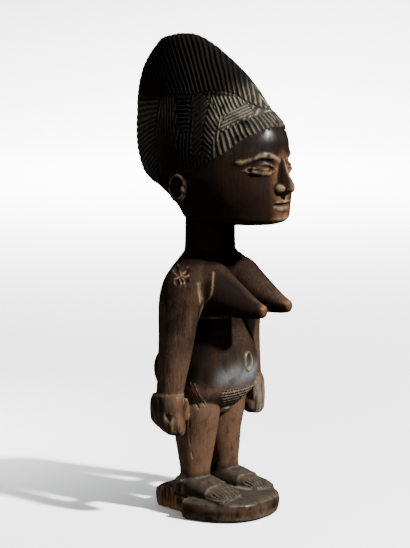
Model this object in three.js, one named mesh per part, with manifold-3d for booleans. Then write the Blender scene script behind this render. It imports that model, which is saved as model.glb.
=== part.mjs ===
// A standing female figure, carved with its oval base from one block of dark wood.
// Millimetres, +Z up. The origin is on the underside of the base, on the axis of the body.
// The figure looks along -Y, so its left side is at +X. Distances called forward run along -Y.

import * as THREE from 'three';
import { LoftGeometry } from 'three/addons/geometries/LoftGeometry.js';
import { mergeVertices } from 'three/addons/utils/BufferGeometryUtils.js';
import Module from 'manifold-3d';

const wasm = await Module();
wasm.setup();

// Driving dimensions: levels above the underside
const HEIGHT = 266.5;
const BASE_TOP = 12;
const ANKLE = 23.5;
const CROTCH = 56.5;
const GROIN = 67.5;
const NAVEL = 87.5;
const WAIST = 105.5;
const BREAST_UNDER = 113.5;
const SHOULDER = 144.5;
const JAW = 164.5;
const EAR = 185;
const HAIRLINE = 218.5;
const CREST_FOOT = 233;

// Driving dimensions: widths and depths
const BASE_DEPTH = 71;
const BASE_WIDTH = 60;
const BASE_FORWARD = 4.2;
const HIP_WIDTH = 54;
const SHOULDER_WIDTH = 72;
const NECK_WIDTH = 28;
const HEAD_WIDTH = 57;
const LEG_OUT = 13;
const WRIST_OUT = 38;
const BELLY_FORWARD = 26.5;
const NIPPLE_FORWARD = 46;

// Driving dimensions: the braids of the hair stand on the scalp as rounded ridges
const BRAID_PITCH = 2.9;
const BRAID_RISE = 0.95;
const BRAID_GAP_RISE = 0.15;

const WOOD = { color: 0x3a2519, roughness: 0.5, metalness: 0 };

// A value that runs smoothly through the stations of a form, with no overshoot between them
function through(stations, name, at) {
  const last = stations.length - 1;
  let i = 0;
  while (i < last - 1 && at > stations[i + 1].at) i += 1;
  const slope = (k) => (stations[k + 1][name] - stations[k][name]) / (stations[k + 1].at - stations[k].at);
  const tangent = (k) => {
    if (k === 0) return slope(0);
    if (k === last) return slope(last - 1);
    const before = slope(k - 1);
    const after = slope(k);
    return before * after <= 0 ? 0 : (2 * before * after) / (before + after);
  };
  const span = stations[i + 1].at - stations[i].at;
  const t = THREE.MathUtils.clamp((at - stations[i].at) / span, 0, 1);
  const fromStart = (1 + 2 * t) * (1 - t) ** 2 * stations[i][name] + t * (1 - t) ** 2 * span * tangent(i);
  const fromEnd = t ** 2 * (3 - 2 * t) * stations[i + 1][name] + t ** 2 * (t - 1) * span * tangent(i + 1);
  return fromStart + fromEnd;
}

function sizeAt(stations, at) {
  const size = { at };
  for (const name of Object.keys(stations[0])) {
    if (name !== 'at') size[name] = through(stations, name, at);
  }
  return size;
}

function evenSteps(from, to, count) {
  return Array.from({ length: count + 1 }, (_, i) => from + ((to - from) * i) / count);
}

function signedPower(value, power) {
  return Math.sign(value) * Math.abs(value) ** power;
}

// One rounded ring across a form: side is its reach to both sides, low and high its reach the other way
function ringPoints(side, low, high, round, segments) {
  return evenSteps(0, 2 * Math.PI, segments)
    .slice(0, segments)
    .map((angle) => {
      const across = signedPower(Math.cos(angle), 2 / round);
      const along = signedPower(Math.sin(angle), 2 / round);
      return [side * across, (along < 0 ? low : high) * along];
    });
}

function middleOf(ring) {
  return ring.reduce((sum, point) => sum.add(point), new THREE.Vector3()).divideScalar(ring.length);
}

// A skin through rings. A ring has to run counterclockwise as the last ring sees it, or it is reversed.
function closedLoft(rings) {
  const middle = middleOf(rings[0]);
  const spokes = rings[0].map((point) => point.clone().sub(middle));
  const turning = new THREE.Vector3();
  spokes.forEach((spoke, i) => turning.add(spoke.clone().cross(spokes[(i + 1) % spokes.length])));
  const counterclockwise = turning.dot(middleOf(rings[1]).sub(middle)) > 0;
  const sections = counterclockwise ? rings : rings.map((ring) => [...ring].reverse());
  return new LoftGeometry(sections, { capStart: true, capEnd: true });
}

// A form that stands: level rings through its stations, evenly spaced or at the stations alone
function uprightForm(stations, segments, rings) {
  const ends = [stations[0].at, stations[stations.length - 1].at];
  const levels = rings ? evenSteps(...ends, rings) : stations.map((s) => s.at);
  return closedLoft(
    levels.map((z) => {
      const s = sizeAt(stations, z);
      const ring = ringPoints(s.side, s.front, s.back, s.round, segments);
      return ring.map(([x, y]) => new THREE.Vector3(s.x + x, y - s.forward, z));
    })
  );
}

// A form that points forward: rings across the Y axis through its stations
function forwardForm(stations, segments, rings) {
  const places = evenSteps(stations[0].at, stations[stations.length - 1].at, rings);
  return closedLoft(
    places.map((forward) => {
      const s = sizeAt(stations, forward);
      const ring = ringPoints(s.side, s.under, s.over, s.round, segments);
      return ring.map(([x, up]) => new THREE.Vector3(s.x + x, -forward, s.z + up));
    })
  );
}

// A small rounded form: a ball stretched to its reach, turned, and put in its place
function roundedForm(reach, place, turn, segments, rings) {
  const geometry = new THREE.SphereGeometry(1, segments, rings);
  geometry.scale(...reach);
  geometry.rotateX(turn[0]);
  geometry.rotateY(turn[1]);
  geometry.rotateZ(turn[2]);
  geometry.translate(...place);
  return geometry;
}

// The closed mesh of a geometry as a solid that can be joined and cut
function solid(geometry) {
  const bare = new THREE.BufferGeometry();
  bare.setAttribute('position', geometry.getAttribute('position').clone());
  bare.setIndex(geometry.index.clone());
  const merged = mergeVertices(bare, 1e-4);
  const positions = new Float32Array(merged.attributes.position.array);
  const index = merged.index.array;
  const triangles = [];
  for (let i = 0; i < index.length; i += 3) {
    const [a, b, c] = [index[i], index[i + 1], index[i + 2]];
    if (a !== b && b !== c && c !== a) triangles.push(a, b, c);
  }
  const triVerts = new Uint32Array(triangles);
  return new wasm.Manifold(new wasm.Mesh({ numProp: 3, vertProperties: positions, triVerts }));
}

function join(parts) {
  return parts.reduce((whole, part) => whole.add(part));
}

// A form of the left side, and the same form on the right side
function bothSides(part) {
  return join([part, part.mirror([1, 0, 0])]);
}

// The oval base: a worn disc with a domed top and an undercut edge. A strip broke away beside the
// right heel.
function makeBase() {
  const side = BASE_WIDTH / 2;
  const reach = BASE_DEPTH / 2;
  const ring = (at, inset, round) => {
    const size = { side: side - inset, front: reach - 1.2 * inset, back: reach - inset };
    return { at, x: 0, forward: BASE_FORWARD, round, ...size };
  };
  const disc = uprightForm(
    [
      ring(0, 4.4, 2.4),
      ring(1.8, 2.8, 2.5),
      ring(0.55 * BASE_TOP, 0, 2.5),
      ring(BASE_TOP - 2, 0.4, 2.5),
      ring(BASE_TOP - 0.6, 2, 2.4),
      ring(BASE_TOP + 1, 12, 2.2),
    ],
    28
  );
  const stripWidth = 16;
  const stripLength = 44;
  const strip = new THREE.BoxGeometry(stripWidth, stripLength, BASE_TOP * 4);
  strip.translate(-stripWidth / 2, stripLength / 2, 0);
  strip.rotateZ(THREE.MathUtils.degToRad(-14));
  strip.translate(-0.68 * side, -4, 0);
  return solid(disc).subtract(solid(strip));
}

// A foot: a wedge that drops from the instep to a row of toes, parted by plain cuts
function makeFoot() {
  const heel = -12.5;
  const toeEnd = 27;
  const toeMiddle = LEG_OUT + 2.5;
  const wedge = forwardForm(
    [
      { at: heel, x: LEG_OUT + 0.5, z: 14.5, side: 5, under: 5, over: 4, round: 2.4 },
      { at: heel + 3, x: LEG_OUT + 0.5, z: 14.5, side: 8, under: 5, over: 6.5, round: 2.6 },
      { at: 0, x: LEG_OUT + 1, z: 14.5, side: 9.5, under: 5, over: 9.5, round: 2.6 },
      { at: 8, x: LEG_OUT + 1.5, z: 13.5, side: 10, under: 4, over: 9, round: 2.6 },
      { at: 17, x: LEG_OUT + 2, z: 12.5, side: 10.5, under: 3, over: 6.8, round: 2.8 },
      { at: toeEnd - 2, x: toeMiddle, z: 12, side: 10.2, under: 3, over: 4.9, round: 3 },
      { at: toeEnd, x: toeMiddle, z: 12, side: 9, under: 2.5, over: 2.6, round: 2.6 },
    ],
    12,
    7
  );
  const toes = 5;
  const toeWidth = 4;
  const toeLength = 8;
  const cuts = evenSteps(-(toes / 2 - 1), toes / 2 - 1, toes - 2).map((step) => {
    const cut = new THREE.CylinderGeometry(0.9, 0.9, toeLength, 4);
    cut.translate(toeMiddle + step * toeWidth, toeLength / 2 - toeEnd - 0.5, 17);
    return solid(cut);
  });
  const inwardRise = 6;
  return solid(wedge).subtract(join(cuts)).rotate([0, inwardRise, 0]).translate([-1, 0, inwardRise * 0.25]);
}

// A leg: short and thick, widest at the thigh
function makeLeg() {
  return uprightForm(
    [
      { at: BASE_TOP, x: LEG_OUT + 1, forward: -0.5, side: 8.5, front: 9, back: 9, round: 2 },
      { at: ANKLE, x: LEG_OUT + 0.8, forward: -0.3, side: 7.9, front: 8.6, back: 8.4, round: 2 },
      { at: ANKLE + 11, x: LEG_OUT - 0.2, forward: -0.8, side: 9.4, front: 10.2, back: 10.2, round: 2 },
      { at: CROTCH - 11, x: LEG_OUT - 1.2, forward: -1.4, side: 11, front: 12.4, back: 12.4, round: 2 },
      { at: CROTCH, x: LEG_OUT - 1, forward: -1, side: 12, front: 13.8, back: 14.5, round: 2 },
      { at: GROIN + 4, x: LEG_OUT - 1, forward: -1, side: 12.5, front: 15, back: 17, round: 2 },
    ],
    14,
    7
  );
}

// The trunk: hips, round belly, waist and chest
function makeTrunk() {
  const hip = HIP_WIDTH / 2;
  return uprightForm(
    [
      { at: CROTCH + 3, x: 0, forward: 0, side: 15, front: 11, back: 13, round: 2 },
      { at: GROIN - 3, x: 0, forward: 0, side: 23, front: 17, back: 18, round: 2.2 },
      { at: GROIN + 5, x: 0, forward: 0, side: hip - 1, front: 23, back: 20, round: 2.3 },
      { at: NAVEL - 3, x: 0, forward: 0, side: hip - 2, front: BELLY_FORWARD, back: 18.5, round: 2.2 },
      { at: NAVEL + 8, x: 0, forward: 0, side: 22.5, front: BELLY_FORWARD - 1.5, back: 16, round: 2.2 },
      { at: WAIST, x: 0, forward: 0, side: 20.5, front: 20.5, back: 15.5, round: 2.2 },
      { at: BREAST_UNDER + 3, x: 0, forward: 0, side: 22, front: 17, back: 16, round: 2.4 },
      { at: SHOULDER - 15, x: 0, forward: 0, side: 27, front: 15.5, back: 15.5, round: 2.8 },
      { at: SHOULDER - 4, x: 0, forward: 0, side: 24, front: 14, back: 13.5, round: 2.6 },
      { at: SHOULDER + 2, x: 0, forward: 0, side: 17, front: 13.5, back: 13, round: 2.2 },
      { at: SHOULDER + 5, x: 0, forward: 0, side: 13.5, front: 13, back: 12.5, round: 2 },
    ],
    18,
    12
  );
}

// A buttock: one of two round swellings low on the back
function makeButtock() {
  return roundedForm([13, 14, 15], [10.5, 14.5, NAVEL - 7], [0, 0, 0], 10, 6);
}

// The neck: a plain post between the shoulders and the flat underside of the jaw
function makeNeck() {
  const radius = NECK_WIDTH / 2;
  const post = new THREE.CylinderGeometry(radius - 0.6, radius + 0.2, JAW - SHOULDER + 6, 18);
  post.rotateX(Math.PI / 2);
  post.translate(0, 0, (JAW + SHOULDER) / 2);
  return post;
}

// A breast: a long cone that leaves the chest at the collar and drops to a blunt nipple
function makeBreast() {
  const tip = NIPPLE_FORWARD;
  const tipLevel = BREAST_UNDER + 4.6;
  return forwardForm(
    [
      { at: 3, x: 14, z: tipLevel + 10.5, side: 13, under: 14.5, over: 16, round: 2 },
      { at: 13, x: 13.6, z: tipLevel + 10, side: 12.5, under: 14, over: 15, round: 2 },
      { at: tip - 21, x: 13, z: tipLevel + 5.6, side: 9.8, under: 10.2, over: 10.8, round: 2 },
      { at: tip - 10, x: 12.5, z: tipLevel + 2, side: 6.4, under: 6.6, over: 6.4, round: 2 },
      { at: tip - 1.5, x: 12.2, z: tipLevel + 0.2, side: 4, under: 4.2, over: 4, round: 2 },
      { at: tip, x: 12.2, z: tipLevel, side: 2, under: 2, over: 2, round: 2 },
    ],
    12,
    7
  );
}

// An arm: a heavy sloping shoulder, a straight fall to the wrist, and a slight splay outwards
function makeArm() {
  const out = SHOULDER_WIDTH / 2;
  return uprightForm(
    [
      { at: GROIN, x: WRIST_OUT, forward: 0, side: 5.8, front: 8.4, back: 8.2, round: 2 },
      { at: GROIN + 5, x: WRIST_OUT - 0.8, forward: 0, side: 6.6, front: 8, back: 8, round: 2 },
      { at: NAVEL - 2, x: WRIST_OUT - 3.5, forward: 0, side: 7.6, front: 9, back: 9, round: 2 },
      { at: WAIST - 4, x: out - 4.8, forward: 0, side: 8.6, front: 10.8, back: 10.4, round: 2 },
      { at: BREAST_UNDER + 2, x: out - 6.5, forward: 0, side: 9.2, front: 13, back: 11.6, round: 2.1 },
      { at: SHOULDER - 20, x: out - 9, forward: 0.5, side: 10.5, front: 14.5, back: 12.6, round: 2.2 },
      { at: SHOULDER - 12, x: out - 12.5, forward: 0.5, side: 11, front: 13.8, back: 12.4, round: 2.2 },
      { at: SHOULDER - 5, x: out - 17.5, forward: 0.5, side: 10, front: 11.5, back: 11, round: 2.1 },
      { at: SHOULDER, x: out - 21, forward: 0, side: 6.5, front: 9, back: 8.5, round: 2 },
    ],
    12,
    10
  );
}

// A hand: a broad block below the wrist, cut into four fingers at its lower edge, and held to the
// hip by the thumb and the wood left behind it
function makeHand() {
  const low = CROTCH - 7;
  const palm = uprightForm(
    [
      { at: low, x: WRIST_OUT - 1, forward: 3.5, side: 3.4, front: 5, back: 4, round: 2.2 },
      { at: low + 3, x: WRIST_OUT, forward: 2, side: 5.8, front: 7.8, back: 6.6, round: 2.3 },
      { at: low + 9, x: WRIST_OUT + 0.3, forward: 0, side: 7, front: 10, back: 11, round: 2.3 },
      { at: GROIN, x: WRIST_OUT + 0.2, forward: 0, side: 7, front: 9.4, back: 11.4, round: 2.2 },
      { at: GROIN + 4, x: WRIST_OUT - 0.4, forward: 0, side: 7, front: 8.6, back: 10.4, round: 2 },
    ],
    12
  );
  const fingers = 4;
  const fingerPitch = 4.4;
  const fingerLength = 13;
  const cuts = evenSteps(1 - fingers / 2, fingers / 2 - 1, fingers - 2).map((step) => {
    const cut = new THREE.CylinderGeometry(1.1, 1.1, fingerLength, 4);
    cut.rotateX(Math.PI / 2);
    cut.translate(WRIST_OUT + 6.4, step * fingerPitch - 0.6, low + fingerLength / 2 - 1);
    return solid(cut);
  });
  const thumb = roundedForm([2.6, 2.8, 8.5], [WRIST_OUT - 6.5, -8.5, CROTCH + 4.5], [0.2, -0.25, 0], 6, 4);
  const link = roundedForm([10.5, 5.5, 4.5], [WRIST_OUT - 13, -2.5, CROTCH + 2.5], [0, 0.12, 0], 6, 4);
  return join([solid(palm).subtract(join(cuts)), solid(thumb), solid(link)]);
}

// The navel: a tall ring that stands proud of the belly
function makeNavel() {
  const ring = new THREE.TorusGeometry(3.8, 0.9, 5, 12);
  ring.scale(0.8, 1.3, 1);
  ring.rotateX(Math.PI / 2);
  ring.translate(0, -BELLY_FORWARD - 0.1, NAVEL - 0.5);
  return ring;
}

// The mound between the thighs, under the fold of the belly
function makePubis() {
  return roundedForm([10, 7, 9], [0, -8.5, CROTCH + 6], [0, 0, 0], 8, 6);
}

// The head and the scalp under the hair: level rings, widest at the ears and thin along the crest
const HEAD = [
  { at: JAW, mid: 12, front: 30, back: 23, side: 19, roundFront: 2.3, roundBack: 2 },
  { at: JAW + 2.2, mid: 12, front: 35, back: 25.5, side: 22, roundFront: 2.3, roundBack: 2 },
  { at: JAW + 7, mid: 11, front: 38, back: 27, side: 24, roundFront: 2.2, roundBack: 2 },
  { at: JAW + 13, mid: 9, front: 40, back: 31, side: 26, roundFront: 2.2, roundBack: 2 },
  { at: JAW + 19, mid: 6, front: 42.5, back: 37, side: 27.4, roundFront: 2.2, roundBack: 1.95 },
  { at: EAR + 6, mid: 3, front: 45, back: 44, side: HEAD_WIDTH / 2, roundFront: 2.2, roundBack: 1.9 },
  { at: EAR + 14, mid: 1, front: 47.5, back: 46, side: HEAD_WIDTH / 2, roundFront: 2.2, roundBack: 1.8 },
  { at: EAR + 23, mid: 0, front: 48.5, back: 47.5, side: 27.2, roundFront: 2.15, roundBack: 1.75 },
  { at: HAIRLINE, mid: 0, front: 45, back: 48.5, side: 23.6, roundFront: 2.1, roundBack: 1.7 },
  { at: HAIRLINE + 8, mid: -1, front: 38.5, back: 48, side: 19.4, roundFront: 2, roundBack: 1.65 },
  { at: CREST_FOOT + 2, mid: -3, front: 34.5, back: 45.5, side: 15.2, roundFront: 2, roundBack: 1.6 },
  { at: CREST_FOOT + 12, mid: -7, front: 29.5, back: 39, side: 11, roundFront: 1.9, roundBack: 1.6 },
  { at: HEIGHT - 13.5, mid: -12, front: 24.5, back: 29.5, side: 7.6, roundFront: 1.9, roundBack: 1.7 },
  { at: HEIGHT - 7, mid: -15, front: 18, back: 21, side: 5.2, roundFront: 1.9, roundBack: 1.8 },
  { at: HEIGHT - 3, mid: -17.5, front: 13, back: 13.5, side: 3.4, roundFront: 2, roundBack: 2 },
  { at: HEIGHT - 0.9, mid: -17.5, front: 6, back: 4, side: 1.2, roundFront: 2, roundBack: 2 },
];

// The bare head, up to just above the foot of the crest. Where braids lie on it, it is cut a little
// deeper than the scalp they stand on.
function makeHeadCore() {
  const top = CREST_FOOT + 3;
  const stations = HEAD.map((s) => s.at).filter((at) => at < top);
  const levels = [...stations, EAR + 18, (EAR + 23 + HAIRLINE) / 2, top].sort((low, high) => low - high);
  const segments = 20;
  const underBraids = 1;
  return closedLoft(
    levels.map((z) => {
      const s = sizeAt(HEAD, z);
      const side = s.side - (z > HAIRLINE + 4 ? underBraids : 0);
      const front = s.front - (z > HAIRLINE + 4 ? underBraids : 0);
      const back = s.back - (z > EAR + 5 ? underBraids : 0);
      const frontHalf = ringPoints(side, front, back, s.roundFront, segments).slice(segments / 2);
      const backHalf = ringPoints(side, front, back, s.roundBack, segments).slice(0, segments / 2);
      return [...backHalf, ...frontHalf].map(([x, y]) => new THREE.Vector3(x, y - s.mid, z));
    })
  );
}

// Half the thickness of the scalp at a place of the middle plane, negative outside its outline
function halfThickness(forward, z) {
  const s = sizeAt(HEAD, z);
  const ahead = forward > s.mid;
  const power = ahead ? s.roundFront : s.roundBack;
  const inside = 1 - (Math.abs(forward - s.mid) / (ahead ? s.front : s.back)) ** power;
  const above = Math.max(0, z - HEAD[HEAD.length - 1].at);
  return s.side * signedPower(inside, 1 / power) - above;
}

// A point of the left flank that stands off the scalp by lift, square to its surface
function overScalp(forward, z, lift) {
  const step = 0.4;
  const thickness = Math.max(0, halfThickness(forward, z));
  const slopeForward = (halfThickness(forward + step, z) - halfThickness(forward - step, z)) / (2 * step);
  const slopeUp = (halfThickness(forward, z + step) - halfThickness(forward, z - step)) / (2 * step);
  const square = new THREE.Vector3(1, slopeForward, -slopeUp).normalize();
  return new THREE.Vector3(thickness, -forward, z).addScaledVector(square, lift);
}

// How far a line of the middle plane runs from a place before it leaves the outline of the scalp
function runToOutline(start, direction) {
  let inside = 0;
  let outside = HEIGHT;
  const tries = 24;
  for (let i = 0; i < tries; i += 1) {
    const run = (inside + outside) / 2;
    const z = start[1] + run * direction[1];
    const within = z < HEIGHT && halfThickness(start[0] + run * direction[0], z) > 0;
    if (within) inside = run;
    else outside = run;
  }
  return inside;
}

function braidLift(i) {
  return i % 2 === 0 ? BRAID_GAP_RISE : BRAID_RISE;
}

// Braids that start on one flank, climb over the edge of the head, and end on the other flank
function braidsOverEdge(count, startAt, directionAt) {
  const pointsPerFlank = 3;
  const sections = evenSteps(0, 1, 2 * count).map((t, i) => {
    const start = startAt(t);
    const direction = directionAt(t);
    const run = runToOutline(start, direction);
    const flank = evenSteps(0, 1, pointsPerFlank).map((s) => {
      const along = run * (1 - (1 - s) ** 2);
      return overScalp(start[0] + along * direction[0], start[1] + along * direction[1], braidLift(i));
    });
    const edge = flank[pointsPerFlank];
    edge.x = 0;
    const left = flank.slice(0, pointsPerFlank);
    const right = left.map((p) => new THREE.Vector3(-p.x, p.y, p.z)).reverse();
    return [...left, edge, ...right];
  });
  return solid(closedLoft(sections));
}

// A field of braids on one flank: they run side by side from one line to another
function braidField(count, startLine, endLine, steps) {
  const depth = -3;
  const between = (line, t) => line[0].map((value, k) => value + (line[1][k] - value) * t);
  const sections = evenSteps(0, 1, 2 * count).map((t, i) => {
    const start = between(startLine, t);
    const end = between(endLine, t);
    const outer = evenSteps(0, 1, steps).map((s) => {
      const [forward, z] = between([start, end], s);
      return overScalp(forward, z, braidLift(i));
    });
    return [...outer, overScalp(...end, depth), overScalp(...start, depth)];
  });
  return solid(closedLoft(sections));
}

// The hair: a ridge of upright braids on top, level braids round the back of the head, and fields of
// short braids laid in differing directions over each temple
function makeHair() {
  const lerp = THREE.MathUtils.lerp;
  const crestRear = -47;
  const crestFront = 33;
  const crest = braidsOverEdge(
    Math.round((crestFront - crestRear) / BRAID_PITCH),
    (t) => [lerp(crestRear, crestFront, t), CREST_FOOT - 5 * Math.max(0, t - 0.8) / 0.2],
    () => [-0.33, 1]
  );
  const napeLevel = EAR + 8;
  const rear = braidsOverEdge(
    Math.round((CREST_FOOT - napeLevel + 6) / BRAID_PITCH),
    (t) => [lerp(-15, -24, t), lerp(napeLevel, CREST_FOOT - 1, t)],
    (t) => [-1, -0.5 * (1 - t)]
  );
  const behindEar = braidField(3, [[-15, 230], [-8, 229]], [[-6, 196], [2, 196]], 3);
  const rungs = braidField(5, [[-6, 231], [-2, 214]], [[4, 231], [6, 214]], 1);
  const arch = braidField(5, [[6, 232], [25, 231]], [[16.5, 220.5], [29, 228]], 1);
  const temple = braidField(5, [[8, 219], [8, 197]], [[20, 213], [22, 200]], 2);
  const band = braidField(3, [[19, 220], [22, 213.5]], [[33, 227.4], [37, 223.4]], 2);
  const brow = braidField(8, [[23.6, 212], [41, 223.4]], [[25, 202], [44.6, 218.5]], 1);
  return join([crest, rear, ...[behindEar, rungs, arch, temple, band, brow].map(bothSides)]);
}

// An ear: a low oval with a hollow, on the widest part of the head
function makeEar() {
  const lobe = roundedForm([4, 5.8, 8.5], [HEAD_WIDTH / 2 - 1.2, 1, EAR - 1], [0.12, 0, 0], 8, 5);
  const hollow = roundedForm([2.6, 3, 5], [HEAD_WIDTH / 2 + 2.6, 0, EAR - 0.5], [0.12, 0, 0], 6, 4);
  return solid(lobe).subtract(solid(hollow));
}

// How far forward the smooth face lies at a place seen from the front
function faceForward(x, z) {
  const s = sizeAt(HEAD, z);
  return s.mid + s.front * (1 - (Math.abs(x) / s.side) ** s.roundFront) ** (1 / s.roundFront);
}

// A calm, plain face on the usual thirds: brow, nose and closed mouth on a smooth head
function makeFace() {
  const third = (HAIRLINE - JAW) / 3;
  const browLevel = JAW + 2 * third;
  const eyeLevel = browLevel - 5.5;
  const noseLevel = JAW + third;
  const mouthLevel = JAW + 0.62 * third;
  const eyeOut = 12.5;
  const onFace = (x, z, sunk) => [x, sunk - faceForward(x, z), z];
  const eye = roundedForm([7, 4, 3], onFace(eyeOut, eyeLevel, 2.4), [0, 0, 0.35], 8, 6);
  const brow = roundedForm([9.5, 3.4, 1.8], onFace(eyeOut, browLevel, 2.2), [0, 0, 0.35], 6, 4);
  const root = faceForward(0, browLevel) - 3;
  const nose = uprightForm(
    [
      { at: noseLevel - 1, x: 0, forward: root, side: 4, front: 7.5, back: 3, round: 2 },
      { at: noseLevel, x: 0, forward: root, side: 6.2, front: 10.5, back: 3, round: 2 },
      { at: noseLevel + 3, x: 0, forward: root, side: 5.8, front: 11, back: 3, round: 2 },
      { at: noseLevel + 9, x: 0, forward: root, side: 3.4, front: 7.4, back: 3, round: 2 },
      { at: browLevel, x: 0, forward: root, side: 2.4, front: 4.2, back: 3, round: 2 },
    ],
    8
  );
  const upperLip = roundedForm([8.5, 5, 2], onFace(0, mouthLevel + 1.6, 3.2), [0, 0, 0], 8, 4);
  const lowerLip = roundedForm([7.5, 5, 2.2], onFace(0, mouthLevel - 2.1, 3.2), [0, 0, 0], 8, 4);
  const sides = join([solid(eye), solid(brow)]);
  return join([bothSides(sides), solid(nose), solid(upperLip), solid(lowerLip)]);
}

const figure = join([
  makeBase(),
  bothSides(makeFoot()),
  bothSides(solid(makeLeg())),
  solid(makeTrunk()),
  bothSides(solid(makeButtock())),
  bothSides(solid(makeBreast())),
  bothSides(solid(makeArm())),
  bothSides(makeHand()),
  solid(makeNeck()),
  solid(makeNavel()),
  solid(makePubis()),
  solid(makeHeadCore()),
  makeHair(),
  bothSides(makeEar()),
  makeFace(),
]);

function meshOf(name, whole, look) {
  const { vertProperties, triVerts } = whole.getMesh();
  const geometry = new THREE.BufferGeometry();
  geometry.setAttribute('position', new THREE.Float32BufferAttribute(vertProperties, 3));
  geometry.setIndex(new THREE.Uint32BufferAttribute(triVerts, 1));
  geometry.computeVertexNormals();
  const mesh = new THREE.Mesh(geometry, new THREE.MeshStandardMaterial(look));
  mesh.name = name;
  return mesh;
}

const group = new THREE.Group();
group.add(meshOf('figure', figure, WOOD));

export default group;
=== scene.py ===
import math

import bpy
import numpy as np
from mathutils import Matrix, Vector


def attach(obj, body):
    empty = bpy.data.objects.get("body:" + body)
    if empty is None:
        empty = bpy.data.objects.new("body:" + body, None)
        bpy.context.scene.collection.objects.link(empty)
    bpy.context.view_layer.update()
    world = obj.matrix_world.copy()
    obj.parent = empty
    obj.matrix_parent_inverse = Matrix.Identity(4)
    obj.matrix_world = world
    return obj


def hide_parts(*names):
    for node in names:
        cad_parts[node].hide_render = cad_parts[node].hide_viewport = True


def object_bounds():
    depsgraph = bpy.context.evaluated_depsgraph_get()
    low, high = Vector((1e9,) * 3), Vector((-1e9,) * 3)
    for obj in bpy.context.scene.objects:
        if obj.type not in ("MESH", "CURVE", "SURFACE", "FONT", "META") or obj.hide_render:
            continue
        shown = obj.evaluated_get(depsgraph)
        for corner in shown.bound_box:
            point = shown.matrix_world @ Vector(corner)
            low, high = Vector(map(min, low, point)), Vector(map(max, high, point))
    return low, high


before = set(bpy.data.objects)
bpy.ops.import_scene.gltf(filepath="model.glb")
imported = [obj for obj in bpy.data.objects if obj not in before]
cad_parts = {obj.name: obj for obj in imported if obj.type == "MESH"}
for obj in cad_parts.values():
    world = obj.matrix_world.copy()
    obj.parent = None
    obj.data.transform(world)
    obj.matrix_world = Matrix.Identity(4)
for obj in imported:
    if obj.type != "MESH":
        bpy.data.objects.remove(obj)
cad_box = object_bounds()

# The base
# An oval disc of the same block as the figure, with a domed top and an undercut edge. A strip broke
# away beside the right heel. Sizes here are in millimetres, and Blender's points are in metres.
MM = 0.001
BASE_TOP = 12
BASE_DEPTH = 71
BASE_WIDTH = 60
BASE_FORWARD = 4.2
STRIP_WIDTH, STRIP_LENGTH, STRIP_TURN = 16, 44, math.radians(-14)
STRIP_CORNER = (-0.68 * BASE_WIDTH / 2, -4)


def only(thing):
    """Makes one object the only one that is selected."""
    bpy.ops.object.select_all(action="DESELECT")
    thing.select_set(True)
    bpy.context.view_layer.objects.active = thing


def apply_modifier(thing, kind, **settings):
    only(thing)
    modifier = thing.modifiers.new(kind.title(), kind)
    for name, value in settings.items():
        setattr(modifier, name, value)
    bpy.ops.object.modifier_apply(modifier=modifier.name)


def read_points(thing):
    """The mesh's points in millimetres."""
    flat = np.empty(len(thing.data.vertices) * 3)
    thing.data.vertices.foreach_get("co", flat)
    return flat.reshape(-1, 3) / MM


def write_points(thing, points):
    thing.data.vertices.foreach_set("co", (points * MM).ravel())
    thing.data.update()


def stations(names, *rows):
    """The sizes of a form at places along it, one row for each place."""
    columns = zip(names.split(), zip(*rows))
    return {name: np.array(column, float) for name, column in columns}


def through(table, name, at):
    """A size that runs smoothly through its stations, with no overshoot between them."""
    place, value = table["at"], table[name]
    slope = np.diff(value) / np.diff(place)
    before, after = slope[:-1], slope[1:]
    agree = before * after > 0
    inner = np.where(agree, 2 * before * after / np.where(agree, before + after, 1), 0)
    tangent = np.concatenate(([slope[0]], inner, [slope[-1]]))
    i = np.clip(np.searchsorted(place, at, side="right") - 1, 0, len(slope) - 1)
    span = np.diff(place)[i]
    t = np.clip((at - place[i]) / span, 0, 1)
    from_start = (1 + 2 * t) * (1 - t) ** 2 * value[i] + t * (1 - t) ** 2 * span * tangent[i]
    from_end = t**2 * (3 - 2 * t) * value[i + 1] + t**2 * (t - 1) * span * tangent[i + 1]
    return from_start + from_end


def signed_power(value, power):
    return np.sign(value) * np.abs(value) ** power


def ringed_bar(name, table, cuts=90, segments=96):
    """A round bar, cut into rings. Returns it with each point's place along it and its turn."""
    bpy.ops.object.select_all(action="DESELECT")
    bpy.ops.mesh.primitive_cylinder_add(vertices=segments, radius=1, depth=1, end_fill_type="TRIFAN")
    bar = bpy.context.object
    bar.name = name
    bpy.ops.object.mode_set(mode="EDIT")
    bpy.ops.mesh.select_all(action="DESELECT")
    bpy.ops.mesh.select_mode(type="EDGE")
    bpy.ops.object.mode_set(mode="OBJECT")
    for edge in bar.data.edges:
        low, high = (bar.data.vertices[i].co for i in edge.vertices)
        edge.select = abs(high.z - low.z) > 0.5
    bpy.ops.object.mode_set(mode="EDIT")
    bpy.ops.mesh.subdivide(number_cuts=cuts)
    bpy.ops.object.mode_set(mode="OBJECT")
    unit = read_points(bar) * MM
    at = table["at"][0] + (unit[:, 2] + 0.5) * (table["at"][-1] - table["at"][0])
    return bar, unit, at


def standing_form(name, table, **bar_sizes):
    """A form that stands on the block: the bar's rings are drawn out level to their stations."""
    bar, unit, at = ringed_bar(name, table, **bar_sizes)
    size = {key: through(table, key, at) for key in table if key != "at"}
    across = signed_power(unit[:, 0], 2 / size["round"])
    back = signed_power(unit[:, 1], 2 / size["round"])
    reach = np.where(back < 0, size["front"], size["back"])
    x = size["x"] + size["side"] * across
    y = reach * back - size["forward"]
    write_points(bar, np.column_stack([x, y, at]))
    return bar


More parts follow.
